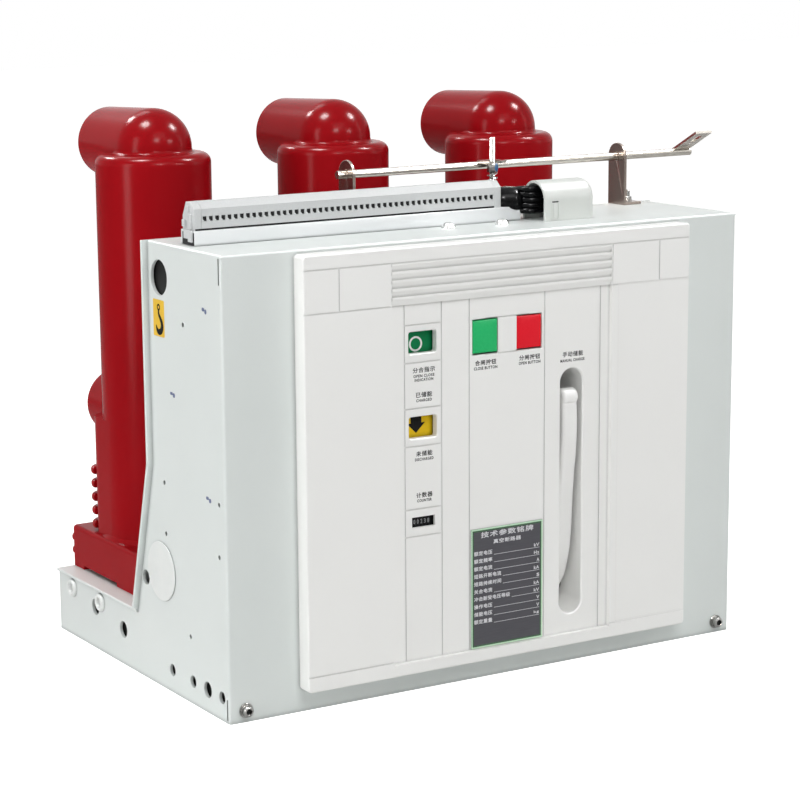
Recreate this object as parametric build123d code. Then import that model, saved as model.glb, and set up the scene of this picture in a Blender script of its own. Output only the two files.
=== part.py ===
from build123d import *
import os
from math import cos, radians

os.makedirs("parts", exist_ok=True)

# Frame: +X to the right seen from the front, +Y to the rear, +Z up.
# The origin is on the floor in the middle of the housing's footprint.

# Housing of folded sheet steel
housing_width = 586.0
housing_height = 435.0
housing_depth = 150.0
foot_depth = 381.0
foot_height = 66.0
kink_height = 220.0
rear_lean = 42.0
rear_wall_overhang = 6.5
shelf_overhang = 2.5
sheet = 3.0
sheet_round = 2.5
sheet_edge = 1.2
wall_foot_round = 5.0

# Holes in the side plates
lifting_hole_diameter = 34.0
lifting_hole_drop = 33.0
lifting_hole_setback = 124.5
foot_hole_diameter = 12.0
foot_hole_height = 22.5
foot_hole_depth_shares = (0.095, 0.287, 0.486, 0.775)
foot_hole_size_shares = (1.0, 1.3, 1.0, 1.0)
anchor_hole_diameter = 17.0
anchor_hole_depth_shares = (0.591, 0.764)
anchor_hole_height_shares = (0.55, 0.67)
wall_hole_diameter = 15.0
wall_hole_rise = 37.0
wall_hole_inset = 9.5
plug_diameter = 58.0
plug_spigot_diameter = 50.0
plug_fit = 0.1
plug_flange = 1.5
plug_setback = 133.5
plug_height = 117.0
pin_hole_diameter = 4.5
pin_hole_depth_shares = (0.202, 0.325, 0.322, 0.032, 0.036, 0.2)
pin_hole_height_shares = (0.835, 0.473, 0.359, 0.473, 0.359, 0.151)
relief_width = 2.4
relief_top = 24.0
relief_bottom = 20.0

# Moulded front cover
cover_width = 440.0
cover_top_gap = 4.0
cover_bottom = 21.6
cover_shift = 1.6
cover_thickness = 17.0
cover_wall = 3.0
cover_corner = 4.0
cover_edge = 2.0
recess_depth = 5.5
recess_left = 125.0
recess_right = 127.0
recess_foot = 12.0
header_height = 40.0
top_band = 14.0
bottom_band = 15.2
groove_width = 1.4
groove_depth = 0.9
louvre_count = 5
louvre_depth = 3.0
louvre_lip_share = 0.28
tile_left_share = 0.4
tile_right_share = 0.6
panel_ridge_width = 7.0
panel_ridge_height = 1.2
column_inset = 16.5
column_width = 41.0
button_field_left = 36.4
button_field_right = 50.5
lever_field_right = 116.4
column_line_shares = (0.942, 0.838, 0.711, 0.606, 0.430, 0.353)

# Push buttons
button_width = 28.4
button_height = 31.4
button_travel = 4.0
button_stop_gap = 2.5
button_clearance = 0.5
button_gap = 1.5
button_drop = 38.0
close_button_place = 18.1
open_button_place = 32.6
button_edge = 1.5
stem_diameter = 10.0
stem_reach = 16.0

# Indicators behind the cover windows
window_width = 31.0
window_height = 21.0
window_round = 2.5
window_rim = 0.8
collar_wall = 1.2
collar_margin = 0.5
state_window_drop = 37.0
spring_window_drop = 117.7
flag_width = 38.0
flag_height = 48.0
flag_thickness = 1.5
flag_travel = 24.0
flag_clearance = 0.5
guide_width = 4.0
guide_lip = 2.0
guide_lip_thickness = 1.2
counter_width = 25.7
counter_window_height = 10.2
counter_drop = 208.8
counter_margin = 2.0
counter_depth = 6.0

# Rating plate
plate_width = 83.5
plate_height = 118.5
plate_thickness = 0.8
plate_margin = 0.5

# Charging lever, its slot and the pocket behind the slot
slot_width = 26.5
slot_foot = 31.0
slot_drop = 78.6
slot_place = 83.1
slot_rim = 1.2
pocket_wall = 2.5
pocket_setback = 55.0
pocket_clearance = 0.5
lever_width = 17.5
lever_tip_gap = 20.4
lever_forward = 40.5
lever_thickness = 13.0
lever_round = 3.0
lever_pivot_rise = 21.4
lever_pivot_setback = 31.0
lever_boss_radius = 14.0
lever_front_shares = ((0.05, 0.52), (0.12, 0.65), (0.24, 0.785), (0.36, 0.835), (0.47, 0.87),
                      (0.59, 0.93), (0.69, 0.99), (0.79, 1.02), (0.93, 1.0))
pivot_pin_diameter = 8.0
pin_clearance = 0.3
pin_fit = 0.1
collar_diameter = 16.0
collar_gap = 0.5

# Poles: epoxy castings with the terminals cast in
pole_pitch = 210.0
pole_setback = 300.0
pole_radius = 58.6
pole_shoulder_round = 10.0
dome_radius = 39.5
dome_fillet = 4.0
dome_neck = 1.0
upper_terminal_level = 508.0
terminal_spacing = 275.0
upper_arm_tip_radius = 36.0
lower_arm_root_radius = 38.0
lower_arm_tip_radius = 35.0
arm_reach = 104.0
arm_edge = 3.0
pole_base_width = 130.0
pole_base_depth = 162.0
pole_base_height = 44.0
pole_base_edge = 4.0
pole_base_shift = 3.0
base_ring = 4.0
notch_depth = 80.0
notch_height = 4.0
notch_offset = 17.0
spine_depth = 52.0
spine_round = 25.0
rib_count = 5
rib_pitch = 14.3
rib_height = 9.0
rib_edge = 3.8
rib_reach = 5.0
rib_lap = 12.0
rib_corner = 14.0
base_rib_count = 2
base_rib_pitch = 14.0
base_rib_corner = 5.0
terminal_diameter = 50.0
terminal_length = 46.0
terminal_recess = 3.0
terminal_fit = 0.1
tapped_hole_diameter = 14.0
tapped_hole_length = 32.0

# Terminal strip on its rail
rail_left_inset = 13.0
rail_length = 362.0
rail_setback = 74.0
rail_depth = 28.0
rail_height = 14.0
rail_wall = 2.0
strip_length = 339.0
strip_setback = 75.0
strip_depth = 23.0
strip_front_height = 20.0
strip_height = 26.0
strip_ridge_share = 0.3
strip_top_share = 0.4
strip_shoulder_share = 0.5
way_count = 50
way_width = 4.2
way_height = 4.6
way_depth = 8.0
way_level = 8.4
end_stop_thickness = 8.0

# Cable hood and the lead that runs into it
hood_left = 93.0
hood_length = 62.0
hood_setback = 48.0
hood_depth = 38.0
hood_height = 39.0
hood_wall = 2.5
hood_end_round = 9.0
lead_diameter = 20.0
lead_start_setback = 87.0
lead_start_rise = 26.0
lead_end_rise = 22.5
lead_straight = 13.0
lead_bend_radius = 16.0

# Interlock shaft in its brackets, and the trip rod it works
shaft_diameter = 8.0
shaft_left = 92.0
shaft_right = 342.0
shaft_setback = 136.0
shaft_rise = 50.0
shaft_clearance = 0.3
bracket_width = 28.0
bracket_thickness = 3.0
bracket_foot = 22.0
bracket_left_place = 82.0
bracket_right_place = 246.0
tab_width = 21.0
tab_length = 43.0
tab_thickness = 2.5
tab_angle = 27.5
tab_inset = 1.0
tab_slot_place_share = 0.66
tab_slot_length = 14.0
tab_slot_width = 6.0
rod_diameter = 6.0
rod_place = 82.0
rod_forward = 12.0
rod_top_rise = 80.0
rod_below = 34.0
rod_clearance = 0.3
nut_diameter = 10.0
nut_height = 9.0
nut_gap = 0.3
fork_length = 22.0
fork_width = 22.0
fork_thickness = 2.5
fork_rise = 5.5
fork_slot_clearance = 1.5
fork_slot_back = 3.5

# Overrun of every cut past the face it opens
overrun = 1.0

# Places that follow from the sizes
front_y = -foot_depth / 2
rear_y = foot_depth / 2
half_width = housing_width / 2
wall_y = front_y + housing_depth
wall_foot_y = wall_y + rear_lean
cover_x = cover_shift
cover_top = housing_height - cover_top_gap
cover_face_y = front_y - cover_thickness
recess_y = cover_face_y + recess_depth
recess_back_y = recess_y + cover_wall
header_top = cover_top - top_band
header_bottom = header_top - header_height
panel_bottom = cover_bottom + bottom_band
recess_bottom = cover_bottom + recess_foot
column_left = -recess_left + column_inset
column_right = column_left + column_width
window_x = (column_left + column_right) / 2
pole_y = front_y + pole_setback
lower_terminal_level = upper_terminal_level - terminal_spacing
pole_shoulder = upper_terminal_level - dome_neck - dome_fillet
arm_tip_y = pole_y + arm_reach
pole_names = ("left", "centre", "right")
pole_places = (-pole_pitch, 0, pole_pitch)
shaft_y = front_y + shaft_setback
shaft_z = housing_height + shaft_rise
rod_y = shaft_y - rod_forward
strip_left = -half_width + rail_left_inset
strip_bottom = housing_height + rail_height
lever_y = front_y + lever_pivot_setback
button_level = header_bottom - button_drop
state_window_level = header_bottom - state_window_drop
spring_window_level = header_bottom - spring_window_drop
counter_level = header_bottom - counter_drop
slot_bottom = cover_bottom + slot_foot
slot_top = header_bottom - slot_drop
lever_pivot_height = slot_bottom + lever_pivot_rise
lever_reach = slot_top - lever_tip_gap - lever_pivot_height


def block(x0, x1, y0, y1, z0, z1):
    """A box between two opposite corners."""
    middle = Pos((x0 + x1) / 2, (y0 + y1) / 2, (z0 + z1) / 2)
    return middle * Box(x1 - x0, y1 - y0, z1 - z0)


def bar_x(x0, x1, y, z, radius):
    """A round bar along X."""
    start = Plane(origin=(x0, y, z), z_dir=(1, 0, 0))
    return start * Cylinder(radius, x1 - x0, align=(Align.CENTER, Align.CENTER, Align.MIN))


def bar_y(x, y0, y1, z, radius):
    """A round bar along Y."""
    start = Plane(origin=(x, y0, z), z_dir=(0, 1, 0))
    return start * Cylinder(radius, y1 - y0, align=(Align.CENTER, Align.CENTER, Align.MIN))


def bar_z(x, y, z0, z1, radius):
    """A round bar along Z."""
    return Pos(x, y, z0) * Cylinder(radius, z1 - z0, align=(Align.CENTER, Align.CENTER, Align.MIN))


def taper_y(x, y0, y1, z, root_radius, tip_radius):
    """A tapered round arm along Y."""
    start = Plane(origin=(x, y0, z), z_dir=(0, 1, 0))
    return start * Cone(root_radius, tip_radius, y1 - y0, align=(Align.CENTER, Align.CENTER, Align.MIN))


def prism_x(points, x0, x1):
    """A straight prism along X over an outline of (y, z) points."""
    face = make_face(Polyline(*points, close=True))
    return extrude(Plane.YZ.offset(x0) * face, x1 - x0, dir=(1, 0, 0))


def slot_through(x, z0, z1, width, y0, y1):
    """An upright slot with round ends, cut along Y."""
    radius = width / 2
    middle = block(x - radius, x + radius, y0, y1, z0 + radius, z1 - radius)
    return middle + bar_y(x, y0, y1, z0 + radius, radius) + bar_y(x, y0, y1, z1 - radius, radius)


def rim_cut(outline, x, z, rim):
    """The bevel round an opening in the recessed field, its outline turned into the XZ plane."""
    face = Plane(origin=(x, recess_y, z), x_dir=(1, 0, 0), z_dir=(0, 1, 0)) * outline
    return extrude(face, rim, taper=45)


def keep(node, shape):
    """Write one node's solids to its own file."""
    shape.label = node
    export_step(shape, f"parts/{node}.step")


# Side plates: flat sheets whose lower part runs back as a foot
side_outline = (
    (front_y + sheet, 0),
    (rear_y - sheet, 0),
    (rear_y - sheet, foot_height - sheet),
    (wall_foot_y - sheet, foot_height - sheet),
    (wall_foot_y - sheet, foot_height),
    (wall_y - sheet, kink_height),
    (wall_y - sheet, housing_height - sheet),
    (front_y + sheet, housing_height - sheet),
)
for side, side_sign in (("left", -1), ("right", 1)):
    outer_x = side_sign * half_width
    inner_x = outer_x - side_sign * sheet
    low_x, high_x = min(outer_x, inner_x), max(outer_x, inner_x)
    plate = prism_x(side_outline, low_x, high_x)
    cut_low, cut_high = low_x - overrun, high_x + overrun
    lifting_y = front_y + lifting_hole_setback
    lifting_z = housing_height - lifting_hole_drop
    plate -= bar_x(cut_low, cut_high, lifting_y, lifting_z, lifting_hole_diameter / 2)
    for depth_share, size_share in zip(foot_hole_depth_shares, foot_hole_size_shares):
        plate -= bar_x(cut_low, cut_high, front_y + depth_share * housing_depth, foot_hole_height,
                       size_share * foot_hole_diameter / 2)
    for depth_share, height_share in zip(anchor_hole_depth_shares, anchor_hole_height_shares):
        plate -= bar_x(cut_low, cut_high, front_y + depth_share * foot_depth,
                       height_share * foot_height, anchor_hole_diameter / 2)
    wall_hole_z = foot_height + wall_hole_rise
    wall_hole_lean = rear_lean * (kink_height - wall_hole_z) / (kink_height - foot_height)
    wall_hole_y = wall_y + wall_hole_lean - sheet - wall_hole_inset
    plate -= bar_x(cut_low, cut_high, wall_hole_y, wall_hole_z, wall_hole_diameter / 2)
    for depth_share, height_share in zip(pin_hole_depth_shares, pin_hole_height_shares):
        plate -= bar_x(cut_low, cut_high, front_y + depth_share * foot_depth,
                       height_share * housing_height, pin_hole_diameter / 2)
    relief_y = (front_y + sheet - overrun, front_y + sheet + relief_width)
    plate -= block(cut_low, cut_high, *relief_y, housing_height - sheet - relief_top, housing_height)
    plate -= block(cut_low, cut_high, *relief_y, sheet, sheet + relief_bottom)
    plug_y = front_y + plug_setback
    plate -= bar_x(cut_low, cut_high, plug_y, plug_height, plug_spigot_diameter / 2)
    keep(f"{side}_side_plate", plate)

    # Plug that closes the round access hole
    flange_end = outer_x + side_sign * plug_flange
    flange = bar_x(min(outer_x, flange_end), max(outer_x, flange_end), plug_y, plug_height,
                   plug_diameter / 2)
    spigot = bar_x(low_x, high_x, plug_y, plug_height, plug_spigot_diameter / 2 - plug_fit)
    keep(f"{side}_hole_plug", flange + spigot)

# Front plate, folded at its upright edges, with openings for the lever pocket and the button stems
front_plate = block(-half_width, half_width, front_y, front_y + sheet, 0, housing_height - sheet)
front_plate = fillet(
    front_plate.edges().filter_by(Axis.Z).group_by(Axis.Y)[0], sheet_round)
plate_cut = (front_y - overrun, front_y + sheet + overrun)
pocket_room = pocket_wall + pocket_clearance
front_plate -= slot_through(slot_place, slot_bottom - pocket_room, slot_top + pocket_room,
                            slot_width + 2 * pocket_room, *plate_cut)
for place in (-close_button_place, open_button_place):
    front_plate -= bar_y(place, *plate_cut, button_level, stem_diameter / 2 + pin_clearance)
keep("front_plate", front_plate)

# Top plate, folded over the front edge, bored for the trip rod
top_plate = block(-half_width, half_width, front_y, wall_y - sheet, housing_height - sheet, housing_height)
top_edges = top_plate.edges().group_by(Axis.Z)[-1]
folded_edges = top_edges.filter_by(Axis.X).group_by(Axis.Y)[0] + top_edges.filter_by(Axis.Y)
top_plate = fillet(folded_edges, sheet_round)
top_plate -= bar_z(rod_place, rod_y, housing_height - sheet - overrun, housing_height + overrun,
                   rod_diameter / 2 + rod_clearance)
keep("top_plate", top_plate)

# Rear wall: upright, then leaning back to the foot, standing proud of the side plates
wall_reach = half_width + rear_wall_overhang
rear_wall = prism_x((
    (wall_y - sheet, housing_height),
    (wall_y, housing_height),
    (wall_y, kink_height),
    (wall_foot_y, foot_height),
    (wall_foot_y - sheet, foot_height),
    (wall_y - sheet, kink_height),
), -wall_reach, wall_reach)
rear_wall = fillet(rear_wall.edges().group_by(Axis.Z)[0].filter_by(Axis.Y), wall_foot_round)
wall_ends = rear_wall.edges().group_by(Axis.X)
keep("rear_wall", fillet(wall_ends[0] + wall_ends[-1], sheet_edge))

# Foot plate: the shelf under the poles, a little wider than the housing, folded down at the rear
shelf_reach = half_width + shelf_overhang
shelf = block(-shelf_reach, shelf_reach, wall_foot_y - sheet, rear_y, foot_height - sheet, foot_height)
shelf = fillet(shelf.edges().filter_by(Axis.Y), sheet_edge)
rear_fold = block(-half_width, half_width, rear_y - sheet, rear_y, 0, foot_height - sheet)
keep("foot_plate", shelf + rear_fold)

# Floor plate between the side plates
floor_plate = block(-half_width + sheet, half_width - sheet, front_y + sheet, rear_y - sheet, 0, sheet)
keep("floor_plate", floor_plate)

# Front cover: a moulded shell with a recessed middle field
cover_left = cover_x - cover_width / 2
cover_right = cover_x + cover_width / 2
cover = block(cover_left, cover_right, cover_face_y, front_y, cover_bottom, cover_top)
cover = fillet(cover.edges().filter_by(Axis.Y), cover_corner)
cover = fillet(cover.edges().group_by(Axis.Y)[0], cover_edge)
cover -= block(cover_left + cover_wall, cover_right - cover_wall, recess_back_y, front_y + overrun,
               cover_bottom + cover_wall, cover_top - cover_wall)
cover -= block(-recess_left, recess_right, cover_face_y - overrun, recess_y, recess_bottom, header_bottom)

# Lines moulded into the raised panels and the header row
groove_y = (cover_face_y - overrun, cover_face_y + groove_depth)
half_groove = groove_width / 2


def line_across(x0, x1, z, y_range):
    return block(x0, x1, *y_range, z - half_groove, z + half_groove)


def line_up(x, z0, z1, y_range):
    return block(x - half_groove, x + half_groove, *y_range, z0, z1)


cover -= line_across(cover_left - overrun, cover_right + overrun, header_top, groove_y)
for x0, x1 in ((cover_left - overrun, -recess_left), (recess_right, cover_right + overrun)):
    cover -= line_across(x0, x1, header_bottom, groove_y)
    cover -= line_across(x0, x1, panel_bottom, groove_y)
tile_left = cover_left + tile_left_share * (-recess_left - cover_left)
tile_right = recess_right + tile_right_share * (cover_right - recess_right)
for x in (tile_left, tile_right, -recess_left, recess_right):
    cover -= line_up(x, header_bottom, header_top, groove_y)

# Louvres: five lips that lean back under one another
louvre_pitch = header_height / louvre_count
louvre_start = -recess_left + half_groove
louvre_end = recess_right - half_groove
for number in range(louvre_count):
    low = header_bottom + number * louvre_pitch
    high = low + louvre_pitch * (1 - louvre_lip_share)
    cover -= prism_x((
        (cover_face_y - overrun, low),
        (cover_face_y + louvre_depth, low),
        (cover_face_y, high),
        (cover_face_y - overrun, high),
    ), louvre_start, louvre_end)

# Lines that divide the recessed field, and the ridge beside the right panel
recess_groove_y = (recess_y - overrun, recess_y + groove_depth)
for x in (column_left, column_right, -button_field_left, button_field_right, lever_field_right):
    cover -= line_up(x, recess_bottom, header_bottom, recess_groove_y)
for share in column_line_shares:
    z = recess_bottom + share * (header_bottom - recess_bottom)
    cover -= line_across(column_left, column_right, z, recess_groove_y)
cover -= block(recess_right + panel_ridge_width, cover_right + overrun, cover_face_y - overrun,
               cover_face_y + panel_ridge_height, panel_bottom + half_groove, header_bottom - half_groove)

# Openings through the cover: windows, counter, buttons and the lever slot
through = (recess_y - overrun, recess_back_y + overrun)
flag_back = front_y - flag_clearance
flag_face = flag_back - flag_thickness
lip_back = flag_face - flag_clearance
lip_front = lip_back - guide_lip_thickness


def window_block(level, margin, y0, y1):
    """The shape of an indicator window with rounded corners, grown by a margin."""
    half = window_width / 2 + margin
    rise = window_height / 2 + margin
    shape = block(window_x - half, window_x + half, y0, y1, level - rise, level + rise)
    return fillet(shape.edges().filter_by(Axis.Y), window_round + margin)


for level in (state_window_level, spring_window_level):
    cover += window_block(level, collar_wall, recess_back_y, lip_front - collar_margin)
    cover -= window_block(level, 0, recess_y - overrun, lip_front + overrun)
    cover -= rim_cut(RectangleRounded(window_width + 2 * window_rim, window_height + 2 * window_rim,
                                      window_round + window_rim), window_x, level, window_rim)
cover -= block(window_x - counter_width / 2, window_x + counter_width / 2, *through,
               counter_level - counter_window_height / 2, counter_level + counter_window_height / 2)
button_well_half = button_width / 2 + button_clearance
button_well_rise = button_height / 2 + button_gap
for place in (-close_button_place, open_button_place):
    cover -= block(place - button_well_half, place + button_well_half, *through,
                   button_level - button_well_rise, button_level + button_well_rise)
for z in (button_level - button_well_rise, button_level + button_well_rise):
    cover -= line_across(-close_button_place, open_button_place, z, recess_groove_y)
cover -= slot_through(slot_place, slot_bottom, slot_top, slot_width, *through)
cover -= rim_cut(SlotOverall(slot_top - slot_bottom + 2 * slot_rim, slot_width + 2 * slot_rim, rotation=90),
                 slot_place, (slot_bottom + slot_top) / 2, slot_rim)
keep("front_cover", cover)

# Push buttons: a square cap level with the recessed field, on a round stem
cap_back = front_y - button_travel - button_stop_gap
stem_end = front_y + sheet + stem_reach
for name, place in (("close_button", -close_button_place), ("open_button", open_button_place)):
    cap = block(place - button_width / 2, place + button_width / 2, recess_y, cap_back,
                button_level - button_height / 2, button_level + button_height / 2)
    cap = fillet(cap.edges().group_by(Axis.Y)[0], button_edge)
    keep(name, cap + bar_y(place, cap_back, stem_end, button_level, stem_diameter / 2))

# Indicator flags: plates that slide between two guides on the front plate
flag_half = flag_width / 2
for name, level in (("state_flag", state_window_level), ("spring_flag", spring_window_level)):
    flag_bottom = level - flag_travel / 2
    keep(name, block(window_x - flag_half, window_x + flag_half, flag_face, flag_back,
                     flag_bottom, flag_bottom + flag_height))

guide_low = spring_window_level - flag_travel / 2 - flag_travel
guide_high = state_window_level - flag_travel / 2 + flag_height
guides = []
for side_sign in (-1, 1):
    inner = window_x + side_sign * (flag_half + flag_clearance)
    outer = inner + side_sign * guide_width
    lip = window_x + side_sign * (flag_half - guide_lip)
    post = block(min(inner, outer), max(inner, outer), lip_back, front_y, guide_low, guide_high)
    cap = block(min(lip, outer), max(lip, outer), lip_front, lip_back, guide_low, guide_high)
    guides.append(post + cap)
keep("flag_guides", Compound(children=guides))

# Operation counter behind its window
counter_half = counter_width / 2 + counter_margin
counter_rise = counter_window_height / 2 + counter_margin
keep("counter", block(window_x - counter_half, window_x + counter_half, front_y - counter_depth, front_y,
                      counter_level - counter_rise, counter_level + counter_rise))

# Rating plate on the recessed field
plate_middle = (button_field_right - button_field_left) / 2
keep("rating_plate", block(plate_middle - plate_width / 2, plate_middle + plate_width / 2,
                           recess_y - plate_thickness, recess_y,
                           recess_bottom + plate_margin, recess_bottom + plate_margin + plate_height))

# Charging lever: a cranked handle that swings out of its slot about a pin at its foot
lever_top_z = lever_pivot_height + lever_reach
front_points = [(lever_y - forward * lever_forward, lever_pivot_height + rise * lever_reach)
                for rise, forward in lever_front_shares]
back_points = [(y + lever_thickness, z) for y, z in front_points]
grip_top = (front_points[-1][0] + lever_thickness / 2, lever_top_z)
boss_front = (lever_y - lever_boss_radius, lever_pivot_height)
boss_back = (lever_y + lever_boss_radius, lever_pivot_height)
lever_outline = [
    Line(boss_front, front_points[0]),
    Spline(*front_points),
    ThreePointArc(front_points[-1], grip_top, back_points[-1]),
    Spline(*reversed(back_points)),
    Line(back_points[0], boss_back),
    ThreePointArc(boss_back, (lever_y, lever_pivot_height - lever_boss_radius), boss_front),
]
lever_left = slot_place - lever_width / 2
lever_right = slot_place + lever_width / 2
lever = extrude(Plane.YZ.offset(lever_left) * make_face(lever_outline), lever_width, dir=(1, 0, 0))
lever = fillet(lever.edges().group_by(Axis.X)[0], lever_round)
lever = fillet(lever.edges().group_by(Axis.X)[-1], lever_round)
lever -= bar_x(lever_left - overrun, lever_right + overrun, lever_y, lever_pivot_height,
               pivot_pin_diameter / 2 + pin_clearance)
keep("charging_lever", lever)

# Lever pocket: a moulded trough that runs back from the slot and holds the pivot pin in its walls
pocket_back_y = front_y + pocket_setback
pocket = slot_through(slot_place, slot_bottom - pocket_wall, slot_top + pocket_wall,
                      slot_width + 2 * pocket_wall, recess_back_y, pocket_back_y)
pocket -= slot_through(slot_place, slot_bottom, slot_top, slot_width,
                       recess_back_y - overrun, pocket_back_y - pocket_wall)
pin_left = slot_place - slot_width / 2 - pocket_wall
pin_right = slot_place + slot_width / 2 + pocket_wall
pocket -= bar_x(pin_left - overrun, pin_right + overrun, lever_y, lever_pivot_height,
                pivot_pin_diameter / 2 + pin_fit)
keep("lever_pocket", pocket)

# Pivot pin with a collar on each side that keeps the lever in the middle of its slot
pin = bar_x(pin_left, pin_right, lever_y, lever_pivot_height, pivot_pin_diameter / 2)
for start, end in ((pin_left + pocket_wall, lever_left - collar_gap),
                   (lever_right + collar_gap, pin_right - pocket_wall)):
    pin += bar_x(start, end, lever_y, lever_pivot_height, collar_diameter / 2)
keep("lever_pin", pin)


# Poles
def rib(x, half, face_y, z, corner):
    """A round-edged creepage rib across a rear face, lapping forward round its corners."""
    shape = block(x - half, x + half, face_y - rib_lap, face_y + rib_reach, z - rib_height / 2,
                  z + rib_height / 2)
    shape = fillet(shape.edges().filter_by(Axis.Z).group_by(Axis.Y)[-1], corner)
    levels = shape.edges().group_by(Axis.Z)
    return fillet(levels[0] + levels[-1], rib_edge)


def pole_casting(x):
    """One epoxy casting: base, round body, domed elbow, two terminal arms, ribbed spine."""
    base_top = foot_height + pole_base_height
    base_front = pole_y + pole_base_shift - pole_base_depth / 2
    base_rear = pole_y + pole_base_shift + pole_base_depth / 2
    base = block(x - pole_base_width / 2, x + pole_base_width / 2, base_front, base_rear,
                 foot_height, base_top)
    base = fillet(base.edges().filter_by(Axis.Z) + base.edges().group_by(Axis.Z)[-1], pole_base_edge)
    notch_middle = pole_y + notch_offset
    base -= block(x - pole_base_width, x + pole_base_width, notch_middle - notch_depth / 2,
                  notch_middle + notch_depth / 2, foot_height - overrun, foot_height + notch_height)

    # Turned profile from the base to the top of the dome
    round_start = pole_radius - pole_shoulder_round
    dome_top = upper_terminal_level + dome_radius
    slant = cos(radians(45))
    arc_in = pole_shoulder_round * (1 - slant)
    fillet_in = dome_fillet * (1 - slant)
    profile = [
        Line((0, base_top), (pole_radius + base_ring, base_top)),
        Line((pole_radius + base_ring, base_top), (pole_radius, base_top + base_ring)),
        Line((pole_radius, base_top + base_ring), (pole_radius, pole_shoulder - pole_shoulder_round)),
        ThreePointArc((pole_radius, pole_shoulder - pole_shoulder_round),
                      (pole_radius - arc_in, pole_shoulder - arc_in), (round_start, pole_shoulder)),
        Line((round_start, pole_shoulder), (dome_radius + dome_fillet, pole_shoulder)),
        ThreePointArc((dome_radius + dome_fillet, pole_shoulder),
                      (dome_radius + fillet_in, pole_shoulder + fillet_in),
                      (dome_radius, pole_shoulder + dome_fillet)),
        Line((dome_radius, pole_shoulder + dome_fillet), (dome_radius, upper_terminal_level)),
        ThreePointArc((dome_radius, upper_terminal_level),
                      (dome_radius * slant, upper_terminal_level + dome_radius * slant), (0, dome_top)),
        Line((0, dome_top), (0, base_top)),
    ]
    body = Pos(x, pole_y, 0) * revolve(Plane.XZ * make_face(profile), Axis.Z)

    # Terminal arms, tapered towards their ends
    upper = taper_y(x, pole_y, arm_tip_y, upper_terminal_level, dome_radius, upper_arm_tip_radius)
    lower = taper_y(x, pole_y, arm_tip_y, lower_terminal_level, lower_arm_root_radius, lower_arm_tip_radius)
    arms = [fillet(arm.edges().group_by(Axis.Y)[-1], arm_edge) for arm in (upper, lower)]

    # Spine behind the lower half, with creepage ribs across it and across the base
    spine = block(x - pole_radius, x + pole_radius, pole_y, pole_y + spine_depth,
                  base_top, lower_terminal_level)
    spine = fillet(spine.edges().filter_by(Axis.Z).group_by(Axis.Y)[-1], spine_round)
    ribs = []
    for number in range(rib_count):
        ribs.append(rib(x, pole_radius, pole_y + spine_depth, base_top + rib_pitch * (number + 1 / 2),
                        rib_corner))
    for number in range(base_rib_count):
        ribs.append(rib(x, pole_base_width / 2, base_rear, base_top - base_rib_pitch * (number + 1),
                        base_rib_corner))
    casting = base + [body, spine] + arms + ribs
    for level in (upper_terminal_level, lower_terminal_level):
        casting -= bar_y(x, arm_tip_y - terminal_recess - terminal_length, arm_tip_y + overrun, level,
                         terminal_diameter / 2)
    return casting


def terminal(x, level):
    """A copper terminal set in the end of an arm, tapped for the contact arm's screw."""
    face = arm_tip_y - terminal_recess
    stud = bar_y(x, face - terminal_length, face, level, terminal_diameter / 2 - terminal_fit)
    return stud - bar_y(x, face - tapped_hole_length, face + overrun, level, tapped_hole_diameter / 2)


for name, x in zip(pole_names, pole_places):
    keep(f"pole_{name}", pole_casting(x))
    keep(f"upper_terminal_{name}", terminal(x, upper_terminal_level))
    keep(f"lower_terminal_{name}", terminal(x, lower_terminal_level))

# Terminal rail: a channel turned over on the top plate
rail_front = front_y + rail_setback
rail_right = strip_left + rail_length
rail = block(strip_left, rail_right, rail_front, rail_front + rail_depth, housing_height, strip_bottom)
rail -= block(strip_left - overrun, rail_right + overrun,
              rail_front + rail_wall, rail_front + rail_depth - rail_wall,
              housing_height - overrun, strip_bottom - rail_wall)
keep("terminal_rail", rail)

# Terminal strip: moulded blocks side by side, each with a wire way in its front
strip_front = front_y + strip_setback
strip_right = strip_left + strip_length
strip_outline = (
    (strip_front, strip_bottom),
    (strip_front, strip_bottom + strip_front_height),
    (strip_front + strip_ridge_share * strip_depth, strip_bottom + strip_height),
    (strip_front + (strip_ridge_share + strip_top_share) * strip_depth, strip_bottom + strip_height),
    (strip_front + strip_depth, strip_bottom + strip_shoulder_share * strip_height),
    (strip_front + strip_depth, strip_bottom),
)
ways_left = strip_left + end_stop_thickness
ways_right = strip_right - end_stop_thickness
strip = prism_x(strip_outline, ways_left, ways_right)
way_pitch = (ways_right - ways_left) / way_count
ways = []
for number in range(way_count):
    x = ways_left + way_pitch * (number + 1 / 2)
    ways.append(block(x - way_width / 2, x + way_width / 2, strip_front - overrun, strip_front + way_depth,
                      strip_bottom + way_level, strip_bottom + way_level + way_height))
keep("terminal_strip", strip - ways)

# End stops that clamp the blocks together on the rail
stops = [prism_x(strip_outline, strip_left, ways_left), prism_x(strip_outline, ways_right, strip_right)]
keep("strip_end_stops", Compound(children=stops))

# Cable hood: a moulded arch, open towards the terminal strip
hood_front = front_y + hood_setback
hood_right = hood_left + hood_length


def arch(x0, x1, inset):
    """An arch along X, drawn in from the hood's outer face by the inset."""
    radius = hood_depth / 2 - inset
    middle = hood_front + hood_depth / 2
    spring_z = housing_height + hood_height - hood_depth / 2
    legs = block(x0, x1, middle - radius, middle + radius, housing_height, spring_z)
    return legs + bar_x(x0, x1, middle, spring_z, radius)


hood = arch(hood_left, hood_right, 0)
end_edges = hood.edges().group_by(Axis.X)[-1]
hood = fillet(end_edges.sort_by(Axis.Z)[1:], hood_end_round)
hood_cavity_end = hood_right - hood_end_round
keep("cable_hood", hood - arch(hood_left - overrun, hood_cavity_end, hood_wall))

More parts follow.
